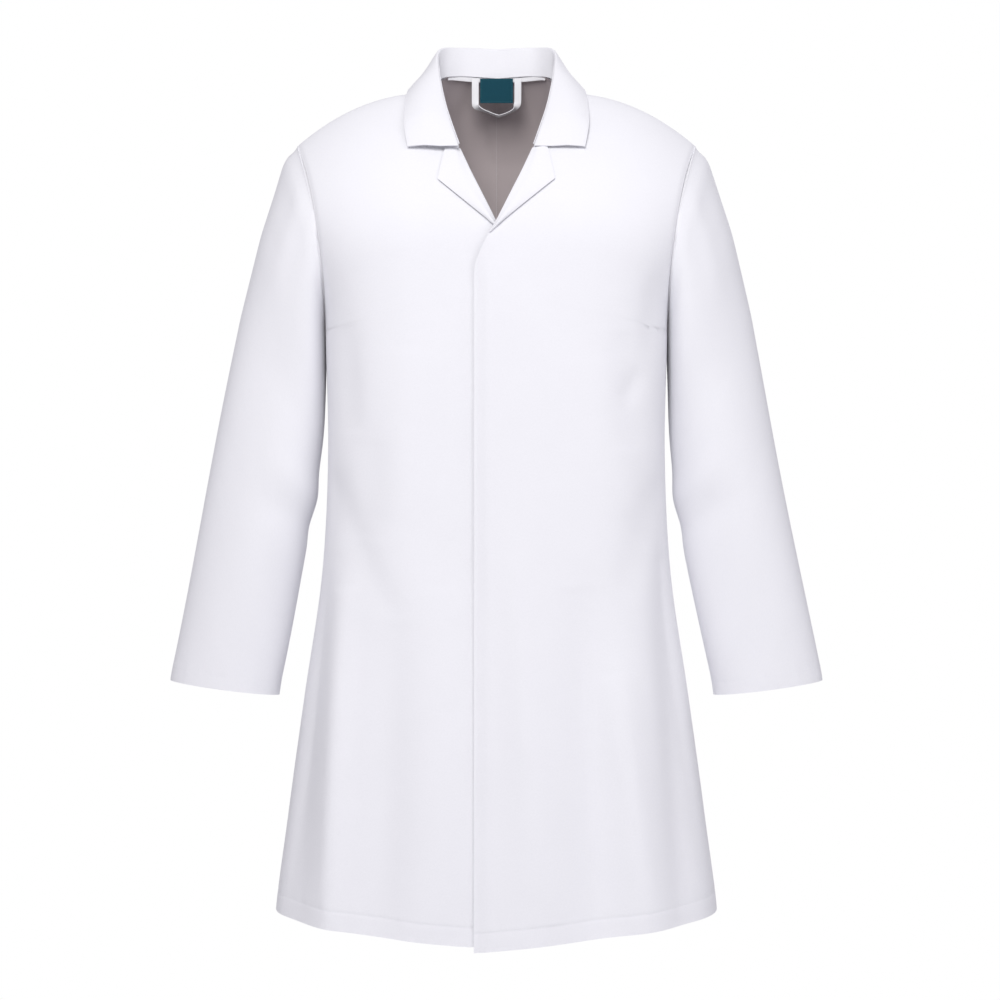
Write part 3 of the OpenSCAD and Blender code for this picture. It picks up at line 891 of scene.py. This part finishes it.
def build_collar_leaf(side):
    name = side_name(side)
    grid = mirrored(collar_leaf_grid(64), side)
    edge_row = np.full(200, len(grid) - 1.9)
    parts = [shell(grid, COLLAR_CLOTH, out=leaf_out(grid))]
    parts.append(stitch_row(grid, edge_row, np.linspace(0.5, 61.5, 200), leaf_out(grid)))
    obj = make_object("collar_" + name + "_cloth", parts, CLOTH_SET)
    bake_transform(obj)
    nodes = ["collar_leaf_" + name] + (["collar_leaf_back"] if side > 0 else [])
    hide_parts(*nodes)


def leaf_out(grid):
    """Sign that makes a collar grid's normals point away from the neck."""
    n = grid_normals(grid)[-8, 10]
    return 1 if n[1] > 0 else -1


def lapel_grid(side):
    z_rows = np.linspace(-81, -186, 34)
    lines = []
    for z in z_rows:
        x0 = float(edge_x(z))
        x1 = max(float(lookup(-z, [(81, 60), (86, 62), (122, 69), (170, 12), (186, -5)])), x0 + 1.5)
        lift = 2.4 * float(ramp((z + 190) / 14))
        y0 = float(front_y(x0, z)) + float(set_back(np.array(x0), side))
        roll = []
        for a in np.linspace(-0.1, 0.92, 8) * math.pi:
            roll.append((x0 + 0.4 - 1.6 * math.sin(a), y0 + 0.2 + 1.7 * math.cos(a), z))
        start = roll[-1]
        flat = []
        for t in np.linspace(0, 1, 16)[1:]:
            x = mix(start[0], x1, t)
            belly = 1.8 * math.sin(math.pi * t)
            y = float(front_y(x, z)) + float(set_back(np.array(x), side)) - lift - belly
            flat.append((x, mix(start[1], y, min(1, t * 4)), z + 1.5 * t))
        lines.append(roll + flat)
    return np.array(lines)


def build_lapel(side):
    name = side_name(side)
    grid = mirrored(lapel_grid(side), side)
    parts = [shell(grid, 0.9, out=side)]
    obj = make_object(name + "_lapel_cloth", parts, CLOTH_SET)
    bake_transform(obj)
    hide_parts(name + "_lapel")


# ---- small pieces inside ----

STRAP_Y = 50.6
LOOP_TOP = 26.5


def ribbon(path, width_dir, width, thickness, out=1, cols=5):
    """A tape along a path; width_dir is its width direction at each point."""
    across = np.linspace(-0.5, 0.5, cols)[None, :, None] * width
    grid = path[:, None] + across * width_dir[:, None]
    return shell(grid, thickness, out)


def build_neck_tape():
    x = np.linspace(-60, 60, 60)
    z = back_neck_z(x) + 1.5
    grid = np.stack([np.stack([x, back_y(x, back_neck_z(x) - 2) - 3.6, z - d], 1)
                     for d in np.linspace(0, 6.5, 7)])
    cols = np.linspace(0.5, 58.5, 300)
    parts = [shell(grid, 0.5, out=1)] + [stitch_row(grid, np.full(300, r), cols, 1) for r in (0.9, 5.1)]
    obj = make_object("neck_tape_ribbon", parts, [TAPE, THREAD])
    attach(obj, "coat_body")
    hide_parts("neck_tape")


def build_hang_loop():
    """Two straps of tape that hang beside the label and turn together in a point."""
    half = [(26.5, LOOP_TOP), (26.5, 8), (26.0, -5), (22.0, -13), (12.0, -18.5), (3.0, -21.5)]
    right = curve(half, np.linspace(0, 1, 40))
    left = right.copy()
    left[:, 0] = 6 - right[:, 0]
    left[:, 0] = mix(left[:, 0], -26.5, ramp((right[:, 1] + 17) / 11))
    path = np.concatenate([right, left[::-1][1:]])
    path = np.stack([path[:, 0], STRAP_Y - 0.5 - 2.6 * ramp((-path[:, 1] + 2) / 22), path[:, 1]], 1)
    way = np.gradient(path, axis=0)
    way /= np.linalg.norm(way, axis=1, keepdims=True)
    side = np.cross(way, np.array([0, 1.0, 0]))
    side /= np.linalg.norm(side, axis=1, keepdims=True)
    twist = ramp((-path[:, 2] - 2) / 14)[:, None] * 0.9
    side = side * (1 - twist) + np.array([0, 1.0, 0]) * twist
    side /= np.linalg.norm(side, axis=1, keepdims=True)
    parts = [ribbon(path, side, 8.4, 0.8, out=1)]
    obj = make_object("hang_loop_tape", parts, [TAPE, THREAD])
    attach(obj, "loop_body")
    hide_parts("hang_loop")


def build_label():
    """A plain woven label, sewn along its edges."""
    x = np.linspace(-20.5, 20.5, 25)
    z = np.linspace(LOOP_TOP - 0.5, -4.5, 19)
    xx, zz = np.meshgrid(x, z)
    yy = STRAP_Y - 1.4 - 0.7 * np.exp(-(zz + 4.5) / 9.0) - 0.25 * np.cos(xx / 8.0)
    grid = np.stack([xx, yy, zz], -1)
    parts = [shell(grid, 0.5, out=1)]
    for c in (1.0, 23.0):
        parts.append(stitch_row(grid, np.linspace(0.6, 17.4, 60), np.full(60, c), 1))
    parts.append(stitch_row(grid, np.full(60, 1.0), np.linspace(1, 23, 60), 1))
    parts.append(stitch_row(grid, np.full(60, 17.0), np.linspace(1, 23, 60), 1))
    label_thread = woven("label_thread", (0.02, 0.12, 0.14), 0.0003, roughness=0.6)
    obj = make_object("size_label_cloth", parts, [LABEL, label_thread])
    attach(obj, "label_body")
    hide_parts("size_label")


def build_pocket():
    rows, cols = 28, 23
    z = np.linspace(-208, -338, rows)[:, None]
    across = np.linspace(-1, 1, cols)[None]
    x = 118 + 50 * across + 0 * z
    z = z + 0 * x
    bulge = 13 * (1 - across ** 2) * (1 - ramp(1.2 * np.linspace(0, 1, rows)[:, None]))
    shape = drape(x, z, LEFT_FOLDS) * ramp((x - edge_x(z)) / 60) * ramp((-z - 60) / 160)
    grid = np.stack([x, front_y(x, z) - shape + 2.2 + bulge, z], -1)
    thickness = mix(1.2, 0.6, ramp((-208 - z - 14) / 2))
    parts = [shell(grid, thickness, out=1)]
    parts.append(stitch_row(grid, np.full(120, 3.0), np.linspace(0.5, cols - 1.5, 120), 1))
    obj = make_object("inner_pocket_cloth", parts, CLOTH_SET)
    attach(obj, "coat_body")
    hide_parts("inner_pocket")


def finish_studs():
    for name in ("top_stud_cap", "top_stud_socket", "stud_caps", "stud_sockets",
                 "upper_stud_posts", "upper_stud_backs", "stud_posts", "stud_backs"):
        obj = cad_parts[name]
        obj.data.materials.clear()
        obj.data.materials.append(METAL)


# ---- surroundings ----

FLOOR_Z = -1.47
FLOOR_RADIUS = 1.35


def build_floor():
    bpy.ops.mesh.primitive_circle_add(vertices=96, radius=FLOOR_RADIUS, fill_type="NGON",
                                      location=(0, 0, FLOOR_Z))
    floor = bpy.context.object
    floor.name = "floor"
    m, _, shader = new_material("floor_pale")
    shader.inputs["Base Color"].default_value = (0.85, 0.85, 0.86, 1)
    shader.inputs["Roughness"].default_value = 0.9
    floor.data.materials.append(m)


def area_light(name, place, target, size, power, colour=(1, 1, 1)):
    data = bpy.data.lights.new(name, "AREA")
    data.shape = "DISK"
    data.size = size
    data.energy = power
    data.color = colour
    obj = bpy.data.objects.new(name, data)
    obj.location = place
    obj.rotation_euler = (Vector(target) - Vector(place)).to_track_quat("-Z", "Y").to_euler()
    bpy.context.scene.collection.objects.link(obj)


def build_world():
    """White behind the object, and a dimmer, slightly violet light on it."""
    world = bpy.data.worlds.new("studio")
    bpy.context.scene.world = world
    world.use_nodes = True
    tree = world.node_tree
    tree.nodes.clear()
    seen = node(tree, "ShaderNodeBackground", Strength=1.0)
    seen.inputs["Color"].default_value = (1, 1, 1, 1)
    lit = node(tree, "ShaderNodeBackground", Strength=0.45)
    lit.inputs["Color"].default_value = (0.945, 0.925, 1.0, 1)
    path = node(tree, "ShaderNodeLightPath")
    choose = node(tree, "ShaderNodeMixShader")
    result = node(tree, "ShaderNodeOutputWorld")
    tree.links.new(path.outputs["Is Camera Ray"], choose.inputs[0])
    tree.links.new(lit.outputs[0], choose.inputs[1])
    tree.links.new(seen.outputs[0], choose.inputs[2])
    tree.links.new(choose.outputs[0], result.inputs["Surface"])


def build_camera():
    data = bpy.data.cameras.new("camera")
    data.sensor_width = 36
    data.lens = 76.7
    camera = bpy.data.objects.new("camera", data)
    camera.location = (0.0043, -2.6, -0.498)
    camera.rotation_euler = (math.pi / 2, 0, 0)
    bpy.context.scene.collection.objects.link(camera)
    bpy.context.scene.camera = camera


bpy.context.scene.view_settings.view_transform = "Standard"

for half in (1, -1):
    build_front(half)
    build_facing(half)
    build_back(half)
    build_sleeve(half)
    build_collar_leaf(half)
    build_lapel(half)
build_fly_band()
build_collar_stand()
build_neck_tape()
build_hang_loop()
build_label()
build_pocket()
finish_studs()

build_floor()
build_world()
area_light("key", (-0.35, -2.7, 1.35), (0, 0, -0.35), 1.5, 61, (1.0, 0.995, 0.98))
area_light("back", (0.9, 2.8, 0.8), (0, 0, -0.4), 1.8, 34, (1.0, 0.995, 0.985))
area_light("fill", (1.7, -2.1, 0.2), (0, 0, -0.5), 1.6, 10, (0.97, 0.97, 1.0))
build_camera()
